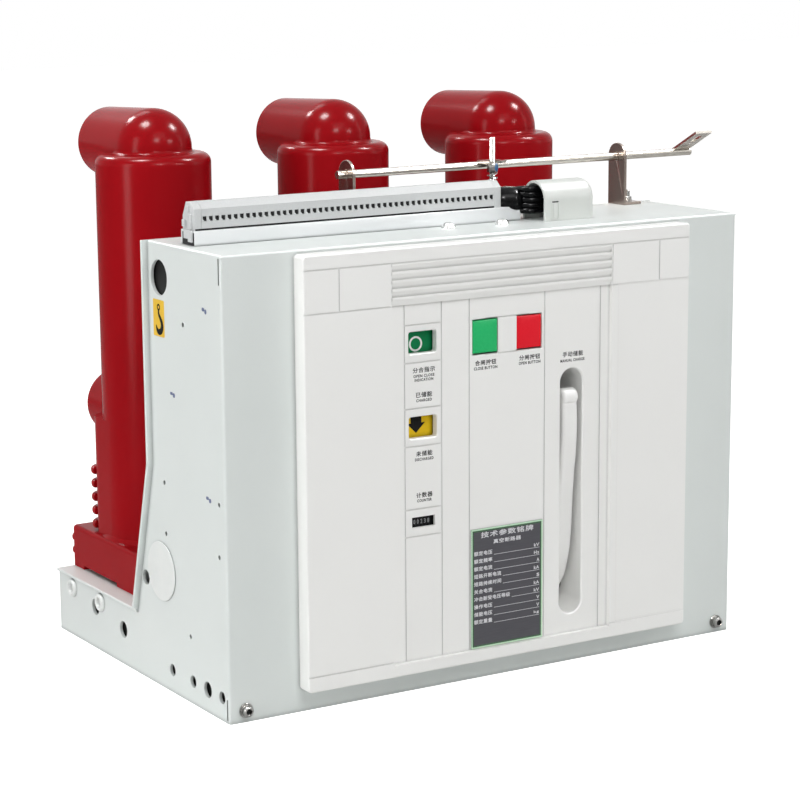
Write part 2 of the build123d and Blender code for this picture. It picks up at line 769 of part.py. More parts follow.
# Lead from the end of the terminal strip into the hood
lead_y0 = front_y + lead_start_setback
lead_y1 = hood_front + hood_depth / 2
lead_z0 = housing_height + lead_start_rise
lead_z1 = housing_height + lead_end_rise
lead_route = [
    (strip_right, lead_y0, lead_z0),
    (strip_right + lead_straight, lead_y0, lead_z0),
    (hood_left, lead_y1, lead_z1),
    (hood_cavity_end, lead_y1, lead_z1),
]
lead_path = FilletPolyline(*lead_route, radius=lead_bend_radius)
lead_section = Plane(origin=lead_route[0], z_dir=(1, 0, 0)) * Circle(lead_diameter / 2)
keep("cable_bundle", sweep(lead_section, path=lead_path))


# Shaft brackets: angles with a round top, bored for the shaft
def shaft_bracket(x):
    half = bracket_width / 2
    blade = block(x, x + bracket_thickness, shaft_y - half, shaft_y + half, housing_height, shaft_z)
    blade += bar_x(x, x + bracket_thickness, shaft_y, shaft_z, half)
    foot = block(x, x + bracket_foot, shaft_y - half, shaft_y + half, housing_height,
                 housing_height + bracket_thickness)
    hole = bar_x(x - overrun, x + bracket_thickness + overrun, shaft_y, shaft_z,
                 shaft_diameter / 2 + shaft_clearance)
    return blade + foot - hole


keep("shaft_bracket_left", shaft_bracket(-bracket_left_place))
keep("shaft_bracket_right", shaft_bracket(bracket_right_place))

# Interlock shaft with the slotted tab at its right end and the fork over the trip rod
shaft = bar_x(-shaft_left, shaft_right, shaft_y, shaft_z, shaft_diameter / 2)
tab_middle = shaft_right - tab_inset - tab_width / 2
tab = Box(tab_width, tab_length, tab_thickness, align=(Align.CENTER, Align.MAX, Align.MIN))
tab_slot = Box(tab_slot_width, tab_slot_length, tab_thickness + 2 * overrun)
tab -= Pos(0, -tab_slot_place_share * tab_length, tab_thickness / 2) * tab_slot
shaft += Pos(tab_middle, shaft_y, shaft_z + shaft_diameter / 4) * Rot(-tab_angle, 0, 0) * tab
fork_z = shaft_z + fork_rise - fork_thickness
fork = block(rod_place - fork_width / 2, rod_place + fork_width / 2, shaft_y - fork_length, shaft_y,
             fork_z, fork_z + fork_thickness)
fork_gap = rod_diameter / 2 + fork_slot_clearance
fork_slot_end = rod_y + rod_diameter / 2 + fork_slot_back
fork -= block(rod_place - fork_gap, rod_place + fork_gap, shaft_y - fork_length - overrun, fork_slot_end,
              fork_z - overrun, fork_z + fork_thickness + overrun)
keep("interlock_shaft", shaft + fork)

# Trip rod with the nut that the fork presses down
nut_top = fork_z - nut_gap
trip_rod = bar_z(rod_place, rod_y, housing_height - rod_below, housing_height + rod_top_rise,
                 rod_diameter / 2)
nut = Pos(rod_place, rod_y, nut_top - nut_height) * extrude(RegularPolygon(nut_diameter / 2, 6), nut_height)
keep("trip_rod", trip_rod + nut)
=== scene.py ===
import math

import bmesh
import bpy
from mathutils import Matrix, Vector


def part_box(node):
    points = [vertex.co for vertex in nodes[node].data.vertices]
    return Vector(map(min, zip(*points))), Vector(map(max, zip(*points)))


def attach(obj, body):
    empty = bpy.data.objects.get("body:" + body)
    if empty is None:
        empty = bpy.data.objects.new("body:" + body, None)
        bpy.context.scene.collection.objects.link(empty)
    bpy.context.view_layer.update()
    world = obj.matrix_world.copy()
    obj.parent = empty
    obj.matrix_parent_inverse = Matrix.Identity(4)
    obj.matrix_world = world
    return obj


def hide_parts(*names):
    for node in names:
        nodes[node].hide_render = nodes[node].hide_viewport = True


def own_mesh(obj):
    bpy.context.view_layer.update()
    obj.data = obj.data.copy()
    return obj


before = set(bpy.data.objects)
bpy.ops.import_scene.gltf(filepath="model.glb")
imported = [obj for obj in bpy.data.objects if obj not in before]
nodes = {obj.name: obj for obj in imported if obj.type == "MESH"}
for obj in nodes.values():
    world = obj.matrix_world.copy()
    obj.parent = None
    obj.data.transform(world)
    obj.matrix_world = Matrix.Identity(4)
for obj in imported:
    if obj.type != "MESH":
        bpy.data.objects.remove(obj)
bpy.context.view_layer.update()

# Camera: the photograph was taken from the breaker's left front, a little above its top plate,
# through a long lens. Its lens and centre are in pixels of the 800 x 800 frame.
photo_size = 800.0
photo_lens = 2363.48
photo_centre = (293.16, 410.74)
sensor_width = 36.0
camera_target = Vector((-0.22111, -0.1905, 0.28743))
camera_distance = 2.15764
camera_azimuth = -29.31
camera_elevation = 10.93
camera_roll = math.radians(-0.89)


def bearing(azimuth, elevation):
    """The level right-hand direction and the outward direction of a place round the breaker."""
    turn, rise = math.radians(azimuth), math.radians(elevation)
    across = Vector((math.cos(turn), math.sin(turn), 0))
    outward = Vector((math.sin(turn) * math.cos(rise), -math.cos(turn) * math.cos(rise), math.sin(rise)))
    return across, outward


def placed(across, upward, outward, origin):
    """The matrix of a thing that faces along -outward from its origin."""
    return Matrix.Translation(origin) @ Matrix((across, upward, outward)).transposed().to_4x4()


across, outward = bearing(camera_azimuth, camera_elevation)
upward = outward.cross(across)
rolled_across = across * math.cos(camera_roll) + upward * math.sin(camera_roll)
rolled_upward = upward * math.cos(camera_roll) - across * math.sin(camera_roll)
camera_data = bpy.data.cameras.new("photo_camera")
camera_data.sensor_fit = "HORIZONTAL"
camera_data.sensor_width = sensor_width
camera_data.lens = photo_lens * sensor_width / photo_size
camera_data.shift_x = 0.5 - photo_centre[0] / photo_size
camera_data.shift_y = photo_centre[1] / photo_size - 0.5
camera_data.clip_end = 50.0
camera = bpy.data.objects.new("photo_camera", camera_data)
bpy.context.scene.collection.objects.link(camera)
camera.matrix_world = placed(rolled_across, rolled_upward, outward,
                             camera_target + outward * camera_distance)
bpy.context.scene.camera = camera
bpy.context.scene.view_settings.view_transform = "Standard"

# Studio: a white room with tall softboxes at the left and right, a broad front light, a lamp overhead
# and one behind; the sheen boxes show only as highlights. The floor is pale paper with a faint shadow.
studio_aim = Vector((0, -0.05, 0.28))
room_light = 0.33
floor_reach = 12.0
floor_glow = 0.76


def add_node(tree, kind, inputs=None, feeds=(), **fields):
    """Adds a node, sets its fields and sockets, and links it on to what it feeds."""
    node = tree.nodes.new(kind)
    for field, value in fields.items():
        setattr(node, field, value)
    for socket, value in (inputs or {}).items():
        if isinstance(value, bpy.types.NodeSocket):
            tree.links.new(value, node.inputs[socket])
        else:
            node.inputs[socket].default_value = value
    for output, target in feeds:
        tree.links.new(node.outputs[output], target)
    return node


def linear(colour):
    """An sRGB hex colour as the linear colour that a socket takes."""
    channels = [int(colour[start:start + 2], 16) / 255 for start in (0, 2, 4)]
    return [c / 12.92 if c <= 0.04045 else ((c + 0.055) / 1.055) ** 2.4 for c in channels] + [1.0]


def softbox(name, azimuth, elevation, distance, width, height, power):
    """A flat lamp that faces the breaker, as an object."""
    lamp = bpy.data.lights.new(name, "AREA")
    lamp.shape = "RECTANGLE"
    lamp.size, lamp.size_y = width, height
    lamp.energy = power
    holder = bpy.data.objects.new(name, lamp)
    bpy.context.scene.collection.objects.link(holder)
    side, out = bearing(azimuth, elevation)
    holder.matrix_world = placed(side, out.cross(side), out, studio_aim + out * distance)
    return holder


# Each lamp has its azimuth and elevation in degrees, distance, width and height in metres, and power.
soft_lamps = (("left_softbox", -84, 12, 2.2, 0.5, 1.5, 14.5),
              ("right_softbox", 68, 20, 2.3, 0.3, 1.3, 7.0),
              ("front_softbox", -8, 42, 2.5, 1.5, 0.9, 21.0),
              ("left_ceiling_lamp", -93, 67, 2.1, 0.5, 0.5, 8.5),
              ("shelf_lamp", -178, 50, 2.1, 0.5, 0.5, 6.0))
sheen_lamps = (("left_sheen", -84, 12, 2.2, 0.4, 1.5, 28.0),
               ("right_sheen", 68, 20, 2.3, 0.25, 1.3, 11.0),
               ("high_left_sheen", -93, 67, 2.1, 0.5, 0.5, 165.0),
               ("high_right_sheen", 72, 53, 2.1, 0.42, 0.42, 125.0),
               ("low_left_sheen", -21, 31, 2.1, 0.45, 0.3, 32.0),
               ("low_right_sheen", 25, 25, 2.1, 0.45, 0.3, 24.0),
               ("back_sheen", -162, 39, 2.2, 0.4, 0.35, 34.0))
for lamp in soft_lamps:
    softbox(*lamp)
for lamp in sheen_lamps:
    softbox(*lamp).visible_diffuse = False

world = bpy.data.worlds.new("white_room")
world.use_nodes = True
bpy.context.scene.world = world
room = world.node_tree
backdrop = room.nodes["Background"]
backdrop.inputs["Color"].default_value = linear("FFFFFF")
rays = add_node(room, "ShaderNodeLightPath").outputs
seen = add_node(room, "ShaderNodeMath", {0: rays["Is Camera Ray"], 1: rays["Is Glossy Ray"]},
                operation="MAXIMUM")
seen = add_node(room, "ShaderNodeMath", {0: seen.outputs[0], 1: rays["Is Transmission Ray"]},
                operation="MAXIMUM")
add_node(room, "ShaderNodeMapRange", {"Value": seen.outputs[0], "To Min": room_light, "To Max": 1.0},
         (("Result", backdrop.inputs["Strength"]),))


def surface(name, tones, grain, rough, pebble=None, rough_grain=None, pebble_grain=None, stretch=None,
            specular=0.5, metallic=0.0, ior=None):
    """A material in its piece's own coordinates: two sRGB tones that a grain (noise scale, detail) mixes.

    Its roughness is one value, or a pair that the grain mixes too, and a pebble is a bump (strength, depth
    in metres). Either can have a grain of its own, and a stretch draws the grains out along the piece.
    """
    material = bpy.data.materials.new(name)
    material.use_nodes = True
    tree = material.node_tree
    shader = tree.nodes["Principled BSDF"].inputs
    place = add_node(tree, "ShaderNodeTexCoord").outputs["Object"]
    if stretch:
        place = add_node(tree, "ShaderNodeMapping", {"Vector": place, "Scale": stretch}).outputs["Vector"]
    rough_grain, pebble_grain = rough_grain or grain, pebble_grain or grain
    shares = {}
    for scale, detail in dict.fromkeys((grain, rough_grain, pebble_grain)):
        noise = add_node(tree, "ShaderNodeTexNoise", {"Vector": place, "Scale": scale, "Detail": detail})
        shares[scale, detail] = noise.outputs["Fac"]
    add_node(tree, "ShaderNodeMix", {0: shares[grain], 6: linear(tones[0]), 7: linear(tones[1])},
             ((2, shader["Base Color"]),), data_type="RGBA")
    if isinstance(rough, tuple):
        add_node(tree, "ShaderNodeMapRange",
                 {"Value": shares[rough_grain], "To Min": rough[0], "To Max": rough[1]},
                 (("Result", shader["Roughness"]),))
    else:
        shader["Roughness"].default_value = rough
    if pebble:
        add_node(tree, "ShaderNodeBump",
                 {"Height": shares[pebble_grain], "Strength": pebble[0], "Distance": pebble[1]},
                 (("Normal", shader["Normal"]),))
    shader["Specular IOR Level"].default_value = specular
    shader["Metallic"].default_value = metallic
    if ior:
        shader["IOR"].default_value = ior
    return material


# Seamless paper: matt, faintly mottled; it glows a little for the camera so that it stays white far off
floor_paper = surface("seamless_paper", ("E8E8E7", "EBEBEA"), (6.0, 2.0), 0.9, specular=0.1)
paper_tree = floor_paper.node_tree
paper_shader = paper_tree.nodes["Principled BSDF"].inputs
paper_shader["Emission Color"].default_value = linear("FFFFFF")
rays = add_node(paper_tree, "ShaderNodeLightPath").outputs
add_node(paper_tree, "ShaderNodeMath", {0: rays["Is Camera Ray"], 1: floor_glow},
         ((0, paper_shader["Emission Strength"]),), operation="MULTIPLY")
sheet = bmesh.new()
bmesh.ops.create_grid(sheet, x_segments=1, y_segments=1, size=floor_reach)
floor_mesh = bpy.data.meshes.new("floor_sheet")
sheet.to_mesh(floor_mesh)
sheet.free()
floor_mesh.materials.append(floor_paper)
floor_sheet = bpy.data.objects.new("floor_sheet", floor_mesh)
bpy.context.scene.collection.objects.link(floor_sheet)

# Housing: folded steel sheets, screwed at the corners and powder-coated pale grey as one box.
# The side plates, front, top, rear wall, foot and floor keep their cut and folded shapes.
crease_shut, crease_open = 0.35, 0.92


def shade_creases(material, reach, darkest):
    """Paints shade into a finish's colour, darker within a reach in metres of a seam or corner."""
    tree = material.node_tree
    base_colour = tree.nodes["Principled BSDF"].inputs["Base Color"]
    colour = base_colour.links[0].from_socket
    gap = add_node(tree, "ShaderNodeAmbientOcclusion", {"Distance": reach}, samples=8)
    depth = add_node(tree, "ShaderNodeMapRange", {"Value": gap.outputs["AO"], "From Min": crease_shut,
                                                  "From Max": crease_open, "To Min": darkest, "To Max": 1.0})
    add_node(tree, "ShaderNodeMix", {0: 1.0, 6: colour, 7: depth.outputs["Result"]}, ((2, base_colour),),
             data_type="RGBA", blend_type="MULTIPLY")


# Powder coat: thick, even and faintly pebbled (orange peel, 2 mm), half matt
sheet_paint = surface("powder_coated_steel", ("D9DFDD", "E1E6E4"), (9.0, 3.0), (0.34, 0.48), (0.12, 0.0003),
                      rough_grain=(55.0, 4.0), pebble_grain=(480.0, 2.0), specular=0.4, ior=1.5)
# painted shade: the powder coat's colour darkens near seams and corners and under the cover's edge
shade_creases(sheet_paint, 0.006, 0.5)


def dress(material, *names):
    """Gives CAD nodes their finished material."""
    for name in names:
        nodes[name].data.materials.clear()
        nodes[name].data.materials.append(material)


dress(sheet_paint, "left_side_plate", "right_side_plate", "front_plate", "top_plate", "rear_wall",
      "foot_plate", "floor_plate")
front_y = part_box("front_plate")[0].y
side_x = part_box("right_side_plate")[1].x
top_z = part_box("top_plate")[1].z

# Painted shade behind the side plates: near-black plates close behind them, seen through their
# holes as the shaded inside of the housing. They stand clear of the walls.
# Painted shade: almost black and dull, with a faint drift
frame_steel = surface("painted_shade_black", ("0A0A0A", "161616"), (40.0, 3.0), 0.6, specular=0.2)
millimetre = 0.001
frame_plates = (((-187.3, 60.0), (-46.0, 428.0)), ((-187.3, 6.0), (184.0, 60.0)),
                ((-46.0, 60.0), (-17.0, 113.0)))
frame_inner, frame_outer = 286.0, 288.0


def joined(shapes):
    """Several shapes as one."""
    whole = bmesh.new()
    for shape in shapes:
        mesh = bpy.data.meshes.new("part_of_a_piece")
        shape.to_mesh(mesh)
        shape.free()
        whole.from_mesh(mesh)
        bpy.data.meshes.remove(mesh)
    return whole


def make_piece(name, shape, materials, body="breaker", sharp=35):
    """Turns a shape into a piece that rides on a body; edges over the sharp angle stay crisp."""
    mesh = bpy.data.meshes.new(name)
    shape.to_mesh(mesh)
    shape.free()
    for material in materials:
        mesh.materials.append(material)
    mesh.shade_smooth()
    mesh.set_sharp_from_angle(angle=math.radians(sharp))
    piece = bpy.data.objects.new(name, mesh)
    bpy.context.scene.collection.objects.link(piece)
    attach(piece, body)
    return piece


def slab(low, high, round_off=0, segments=3):
    """A flat block between two corners, with its edges rounded, in mm."""
    shape = bmesh.new()
    bmesh.ops.create_cube(shape, size=1.0)
    low, high = Vector(low) * millimetre, Vector(high) * millimetre
    bmesh.ops.scale(shape, vec=high - low, verts=shape.verts[:])
    bmesh.ops.translate(shape, vec=(low + high) / 2, verts=shape.verts[:])
    if round_off:
        bmesh.ops.bevel(shape, geom=shape.edges[:], offset=round_off * millimetre, segments=segments,
                        profile=0.5, affect="EDGES", material=-1)
    return shape


frame_shapes = []
for side in (-1, 1):
    near, far = sorted((side * frame_inner, side * frame_outer))
    frame_shapes += [slab((near, *low), (far, *high)) for low, high in frame_plates]
# painted shade: near-black plates that darken what is seen through the side plates' holes
make_piece("painted_shade_plates", joined(frame_shapes), [frame_steel])

# Hole plugs: white polyethylene discs pressed into the large round holes of the side plates, and
# small ring plugs with a dished middle that close the spare fixing holes along the foot.
# Polyethylene: waxy and soft-edged, with a faint moulded bloom
plug_plastic = surface("white_polyethylene", ("E0E4E2", "E9EBE9"), (90.0, 3.0), (0.38, 0.52), specular=0.3)
# painted shade: the plugs' colour darkens in their dished middles and where they meet the plate
shade_creases(plug_plastic, 0.004, 0.4)
plug_round, plug_round_steps = 1.1, 4
ring_plug_profile = ((0, 0.2), (4.2, 0.2), (4.5, 1.0), (5.5, 3.1), (6.9, 3.8), (8.3, 3.2), (9.3, 1.5),
                     (9.6, 0))
ring_plug_places = ((87.1, 52.2), (155.4, 52.0))


def spun(profile, centre, axis, steps=36):
    """A turned shape: a chain of (radius, height) points in mm, spun about an axis at its centre."""
    shape = bmesh.new()
    axis = Vector(axis)
    arm = axis.orthogonal().normalized()
    chain = [shape.verts.new(Vector(centre) + (arm * radius + axis * height) * millimetre)
             for radius, height in profile]
    for start, end in zip(chain, chain[1:]):
        shape.edges.new((start, end))
    bmesh.ops.spin(shape, geom=shape.verts[:] + shape.edges[:], cent=centre, axis=axis,
                   angle=2 * math.pi, steps=steps, use_merge=True)
    bmesh.ops.remove_doubles(shape, verts=shape.verts[:], dist=1e-6)
    bmesh.ops.recalc_face_normals(shape, faces=shape.faces[:])
    return shape


def softened(name, round_off, segments=2, crisp=40):
    """A copy of a CAD node's shape with its crisp edges eased, in mm."""
    shape = bmesh.new()
    shape.from_mesh(nodes[name].data)
    bmesh.ops.remove_doubles(shape, verts=shape.verts[:], dist=1e-6)
    bmesh.ops.dissolve_limit(shape, angle_limit=math.radians(1), verts=shape.verts[:],
                             edges=shape.edges[:])
    edges = [edge for edge in shape.edges
             if edge.is_manifold and edge.calc_face_angle() > math.radians(crisp)]
    bmesh.ops.bevel(shape, geom=edges, offset=round_off * millimetre, segments=segments, profile=0.5,
                    affect="EDGES", material=-1, clamp_overlap=True)
    return shape


for side in ("left", "right"):
    disc = make_piece(f"plug_disc_{side}", softened(f"{side}_hole_plug", plug_round, plug_round_steps),
                      [plug_plastic])
    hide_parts(f"{side}_hole_plug")
ring_plugs = [spun(ring_plug_profile, (side * side_x, y * millimetre, z * millimetre), (side, 0, 0))
              for side in (-1, 1) for y, z in ring_plug_places]
make_piece("ring_plugs", joined(ring_plugs), [plug_plastic])

# Housing fasteners: socket-head screws on a plain and a spring washer at the front's lower corners.
# Zinc-plated steel, turned and cold-headed.
# Bright zinc plate: silvery and uneven, with a faint drawn grain
zinc_plate = surface("bright_zinc_plate", ("767573", "B0AFAC"), (160.0, 4.0), (0.14, 0.28), (0.1, 0.0002),
                     pebble_grain=(900.0, 2.0), metallic=1.0)
washer_profile = ((3.0, 0), (7.0, 0), (7.0, 1.0), (6.8, 1.2), (3.0, 1.2))
spring_washer_profile = ((3.0, 1.2), (5.9, 1.2), (6.0, 1.4), (6.0, 2.5), (5.9, 2.7), (3.0, 2.7))
bolt_head_profile = ((2.9, 2.7), (5.2, 2.7), (5.3, 3.0), (5.3, 5.4), (4.6, 6.6), (3.2, 7.2), (2.9, 6.9),
                     (2.9, 2.7))
front_bolt_places = ((-276, 11.5), (276, 11.5))
socket_flats, socket_low, socket_high, socket_edge = 5.0, 3.6, 4.4, 0.1
forward, upright = (0, -1, 0), (0, 0, 1)


def hexagon(flats, low, high, centre, axis, edge=0.5):
    """A hexagon head or nut with its corners eased, between two heights along an axis, in mm."""
    shape = bmesh.new()
    radius = flats / math.sqrt(3) * millimetre
    depth = (high - low) * millimetre
    bmesh.ops.create_cone(shape, cap_ends=True, segments=6, radius1=radius, radius2=radius, depth=depth)
    bmesh.ops.bevel(shape, geom=shape.edges[:], offset=edge * millimetre, segments=2, profile=0.5,
                    affect="EDGES", material=-1)
    turn = Vector(upright).rotation_difference(Vector(axis)).to_matrix().to_4x4()
    lift = Matrix.Translation((0, 0, (low + high) / 2 * millimetre))
    bmesh.ops.transform(shape, matrix=Matrix.Translation(centre) @ turn @ lift, verts=shape.verts[:])
    return shape


fasteners, sockets = [], []
for x, z in front_bolt_places:
    seat = Vector((x * millimetre, front_y, z * millimetre))
    fasteners += [spun(profile, seat, forward)
                  for profile in (washer_profile, spring_washer_profile, bolt_head_profile)]
    sockets.append(hexagon(socket_flats, socket_low, socket_high, seat, forward, socket_edge))
make_piece("housing_fasteners", joined(fasteners), [zinc_plate])
# painted shade: a near-black hexagon deep in each screw's socket, where the recess is in shade
make_piece("socket_shade_discs", joined(sockets), [frame_steel])

# Top screws: two domed screws in the top plate, in front of the terminal rail. They are cold-headed
# steel, chromed and polished, and are screwed down from above.
# Chrome: mirror-bright, with a faint cloudiness
chrome_plate = surface("polished_chrome", ("DCDCDB", "EFEFEE"), (120.0, 3.0), (0.04, 0.09), metallic=1.0)
dome_screw_profile = ((7.0, 0), (7.0, 0.8), (6.8, 2.2), (6.1, 3.9), (4.7, 5.3), (2.6, 6.1), (0, 6.3))
dome_screw_places = ((-15.5, -135.5), (41.5, -143.0))
dome_screws = [spun(dome_screw_profile, (x * millimetre, y * millimetre, top_z), upright)
               for x, y in dome_screw_places]
make_piece("top_screws", joined(dome_screws), [chrome_plate], sharp=60)

# Marks on the side plates: a yellow vinyl sticker with a hook under each lifting hole, and dabs of
# blue ink where an inspector ticked off the rivets. Both are a tenth of a millimetre thick.
# Sticker vinyl: flat, half glossy, a little uneven where it was rubbed down
sticker_vinyl = surface("yellow_sticker_vinyl", ("E3B40E", "F0C41C"), (140.0, 3.0), (0.3, 0.44))
# Screen ink: black, matt and slightly patchy where it is thin
black_ink = surface("black_screen_ink", ("060607", "101012"), (700.0, 2.0), 0.6, specular=0.1)
# Marker ink: blue, paler where it is thin
marker_ink = surface("blue_marker_ink", ("26345F", "7482A6"), (600.0, 3.0), 0.45)
film = 0.1
sticker_y, sticker_z, sticker_width, sticker_height, sticker_corner = -64.0, 363.5, 23.0, 35.0, 1.5
hook_eye, hook_eye_profile = 373.8, ((1.5, 0), (3.2, 0), (3.2, film), (1.5, film), (1.5, 0))
hook_route = ((0, 371.4), (-0.6, 367.5), (3.5, 363.5), (7.0, 358.5), (6.0, 352.5), (0.5, 349.6),
              (-4.5, 352.0), (-5.7, 356.5))
hook_widths = (1.4, 1.7, 2.1, 2.7, 3.1, 2.9, 2.1, 0.8)
ink_dabs = ((-155.0, 382.6, 5.0, 3.4), (-159.6, 381.0, 4.0, 4.6), (-86.6, 295.0, 5.5, 2.8),
            (-91.6, 293.8, 4.4, 4.4), (-155.6, 207.8, 5.5, 3.0), (-160.6, 206.2, 4.4, 4.2))
dab_corner = 0.45


def draw_out(shape, step):
    """Turns a flat shape into a thin film, by a step in metres."""
    grown = bmesh.ops.extrude_face_region(shape, geom=shape.faces[:])
    lifted = [item for item in grown["geom"] if isinstance(item, bmesh.types.BMVert)]
    bmesh.ops.translate(shape, vec=step, verts=lifted)
    bmesh.ops.recalc_face_normals(shape, faces=shape.faces[:])


def side_patch(side, y, z, width, height, corner):
    """A thin film on a side plate with rounded corners, in mm."""
    shape = bmesh.new()
    bmesh.ops.create_grid(shape, x_segments=1, y_segments=1, size=0.5)
    bmesh.ops.scale(shape, vec=(width * millimetre, height * millimetre, 1), verts=shape.verts[:])
    bmesh.ops.bevel(shape, geom=shape.verts[:], offset=corner * millimetre, segments=4, profile=0.5,
                    affect="VERTICES", material=-1)
    draw_out(shape, (0, 0, film * millimetre))
    stand = placed((0, side, 0), upright, (side, 0, 0), (side * side_x, y * millimetre, z * millimetre))
    bmesh.ops.transform(shape, matrix=stand, verts=shape.verts[:])
    return shape


def shape_of(curve):
    """The shape that a curve or words make; the curve itself goes."""
    holder = bpy.data.objects.new(curve.name, curve)
    bpy.context.scene.collection.objects.link(holder)
    seen_holder = holder.evaluated_get(bpy.context.evaluated_depsgraph_get())
    mesh = bpy.data.meshes.new_from_object(seen_holder)
    bpy.data.objects.remove(holder)
    bpy.data.curves.remove(curve)
    shape = bmesh.new()
    shape.from_mesh(mesh)
    bpy.data.meshes.remove(mesh)
    bmesh.ops.remove_doubles(shape, verts=shape.verts[:], dist=1e-6)
    return shape


def strand(points, radius, radii=None):
    """A smooth round strand along a route of points in mm, as a shape."""
    curve = bpy.data.curves.new("strand", "CURVE")
    curve.dimensions = "3D"
    curve.bevel_depth = radius * millimetre
    curve.bevel_resolution = 4
    curve.use_fill_caps = True
    line = curve.splines.new("NURBS")
    line.points.add(len(points) - 1)
    for number, point in enumerate(points):
        line.points[number].co = (*(Vector(point) * millimetre), 1.0)
        line.points[number].radius = radii[number] if radii else 1.0
    line.order_u = 3
    line.use_endpoint_u = True
    line.resolution_u = 6
    shape = shape_of(curve)
    bmesh.ops.recalc_face_normals(shape, faces=shape.faces[:])
    return shape


stickers, hooks, dabs = [], [], []
for side in (-1, 1):
    stickers.append(side_patch(side, sticker_y, sticker_z, sticker_width, sticker_height, sticker_corner))
    face = Vector((side * (side_x + film * millimetre), 0, 0))
    hook = strand([(0, sticker_y + side * along, z) for along, z in hook_route], 1.0, hook_widths)
    bmesh.ops.scale(hook, vec=(film / 2, 1, 1), verts=hook.verts[:])
    bmesh.ops.translate(hook, vec=face, verts=hook.verts[:])
    eye = face + Vector((0, sticker_y, hook_eye)) * millimetre
    hooks += [hook, spun(hook_eye_profile, eye, (side, 0, 0))]
    dabs += [side_patch(side, y, z, width, height, height * dab_corner) for y, z, width, height in ink_dabs]
make_piece("lifting_stickers", joined(stickers), [sticker_vinyl])
make_piece("lifting_hooks", joined(hooks), [black_ink])
make_piece("ink_dabs", joined(dabs), [marker_ink])

# Poles: three epoxy castings that each hold a vacuum interrupter, stood on the foot and bolted up
# from below. Cast in polished moulds, so the surface is glossy and only faintly wavy.
# Cast epoxy: deep red and glossy, with a slow waviness (20 mm)
red_epoxy = surface("red_cast_epoxy", ("930C14", "A21018"), (14.0, 4.0), (0.17, 0.23), (0.1, 0.001),
                    pebble_grain=(48.0, 1.0), specular=0.036)
dress(red_epoxy, "pole_left", "pole_centre", "pole_right")

# Terminals: silver-plated copper studs cast into the ends of the poles' arms. Each is turned, and
# tapped for the contact arm that is bolted to it.
# Silver plate over turned copper: bright, with a slight warm tarnish
silvered_copper = surface("silver_plated_copper", ("B9AC9A", "E0DCD4"), (70.0, 4.0), (0.2, 0.36),
                          metallic=1.0)
dress(silvered_copper, *(f"{level}_terminal_{place}" for level in ("upper", "lower")
                         for place in ("left", "centre", "right")))

# Front cover: one injection moulding in white ABS, screwed to the front plate from behind. The
# lever and its pocket are moulded in the same plastic.
# Moulded ABS: soft white, fine spark-eroded texture (0.8 mm, drawn a little coarse so that it shows)
cover_plastic = surface("white_moulded_abs", ("F0F0EE", "F4F4F2"), (7.0, 2.0), (0.36, 0.5), (0.06, 0.0002),
                        rough_grain=(1200.0, 2.0), pebble_grain=(1200.0, 2.0), specular=0.4, ior=1.53)
# painted shade: the cover's colour darkens in its seams, louvres and recesses
shade_creases(cover_plastic, 0.003, 0.74)
dress(cover_plastic, "front_cover", "charging_lever", "lever_pocket", "flag_guides")
recess_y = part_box("rating_plate")[1].y

# Captions on the cover: the plain words for each window, button and the lever, screen-printed in
# black on the recessed field. The first line is in Chinese, the next in English.
# Screen ink on plastic: black, matt, a little uneven
caption_ink = surface("black_caption_ink", ("09090A", "131315"), (800.0, 2.0), 0.6)
caption_lines = (
    ("分合指示", -87.0, 313.8, 24.5, 5.0), ("OPEN CLOSE", -87.0, 308.2, 23.0, 2.6),
    ("INDICATION", -87.0, 304.4, 20.5, 2.6), ("已储能", -87.0, 290.2, 17.8, 5.0),
    ("CHARGED", -87.0, 284.9, 17.2, 2.6), ("未储能", -87.0, 234.0, 17.8, 5.0),
    ("DISCHARGED", -87.0, 228.6, 20.5, 2.6), ("计数器", -87.0, 194.0, 17.8, 5.0),
    ("COUNTER", -87.0, 188.8, 16.0, 2.6), ("合闸按钮", -17.6, 313.9, 24.0, 4.9),
    ("CLOSE BUTTON", -17.6, 308.6, 26.5, 2.7), ("分闸按钮", 33.1, 314.1, 24.0, 4.9),
    ("OPEN BUTTON", 33.1, 308.9, 25.0, 2.7), ("手动储能", 84.0, 312.4, 24.0, 5.0),
    ("MANUAL CHARGE", 83.6, 306.4, 28.5, 2.7))
ink_film = 0.03
bolder = 0.006
strikes = ((0.22, 0.11), (0.08, 0.25))
letter_gap = 1.15


def lettering(words, x, z, width, height, face_y):
    """Words struck three times on a forward face, each a thin film fitted to a width and height in mm."""
    curve = bpy.data.curves.new("words", "FONT")
    curve.body = words
    curve.resolution_u = 3
    curve.extrude = ink_film * millimetre
    curve.offset = bolder
    curve.space_character = letter_gap
    shape = shape_of(curve)
    low, high = (Vector((pick(v.co.x for v in shape.verts), pick(v.co.y for v in shape.verts), 0))
                 for pick in (min, max))
    fit = Matrix.Diagonal((width * millimetre / (high.x - low.x), height * millimetre / (high.y - low.y),
                           1, 1))
    stand = Matrix.Translation((x * millimetre, face_y, z * millimetre))
    stand = stand @ Matrix.Rotation(math.pi / 2, 4, "X") @ fit @ Matrix.Translation(-(low + high) / 2)
    bmesh.ops.transform(shape, matrix=stand, verts=shape.verts[:])
    first = shape.verts[:] + shape.edges[:] + shape.faces[:]
    for number, (along, rise) in enumerate(strikes, 1):
        again = bmesh.ops.duplicate(shape, geom=first)["geom"]
        step = Vector((along, -number * ink_film / 3, rise)) * millimetre
        struck = [item for item in again if isinstance(item, bmesh.types.BMVert)]
        bmesh.ops.translate(shape, vec=step, verts=struck)
    return shape


captions = [lettering(*line, recess_y) for line in caption_lines]
make_piece("cover_captions", joined(captions), [caption_ink])
